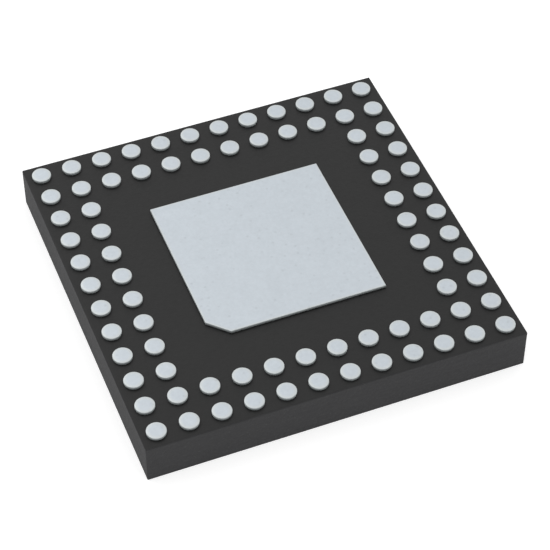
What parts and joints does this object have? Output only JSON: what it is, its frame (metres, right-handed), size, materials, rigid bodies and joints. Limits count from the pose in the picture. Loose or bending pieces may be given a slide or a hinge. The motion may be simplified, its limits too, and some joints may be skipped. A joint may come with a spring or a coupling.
{
  "type": "clock buffer chip",
  "caption": "Square land grid package with a double ring of round lands standing round an exposed thermal pad, for soldering to a board.",
  "frame": {"origin": "centre of the marked face, which the chip lies on", "axes": "+Z out of the lands and the thermal pad, +X along the rows of lands from column 1 to column 12, +Y from row A to row M, so that pin A1 and the chamfered corner of the thermal pad are at -X, -Y"},
  "size_m": [0.006, 0.006, 0.0008],
  "materials": {
    "mould_compound": "matt",
    "plated_copper": "matt plated",
    "die_adhesive": "matt",
    "silicon": "polished",
    "gold_wire": "drawn"
  },
  "bodies": {
    "root": {"mould_body": "mould_compound", "die_paddle": "plated_copper", "die_attach": "die_adhesive", "silicon_die": "silicon", "lands_row_a": "plated_copper", "lands_row_b": "plated_copper", "lands_row_c": "plated_copper", "lands_row_d": "plated_copper", "lands_row_e": "plated_copper", "lands_row_f": "plated_copper", "lands_row_g": "plated_copper", "lands_row_h": "plated_copper", "lands_row_j": "plated_copper", "lands_row_k": "plated_copper", "lands_row_l": "plated_copper", "lands_row_m": "plated_copper", "bond_wires_front_outer": "gold_wire", "bond_wires_front_inner": "gold_wire", "bond_wires_right_outer": "gold_wire", "bond_wires_right_inner": "gold_wire", "bond_wires_back_outer": "gold_wire", "bond_wires_back_inner": "gold_wire", "bond_wires_left_outer": "gold_wire", "bond_wires_left_inner": "gold_wire"}
  },
  "joints": []
}
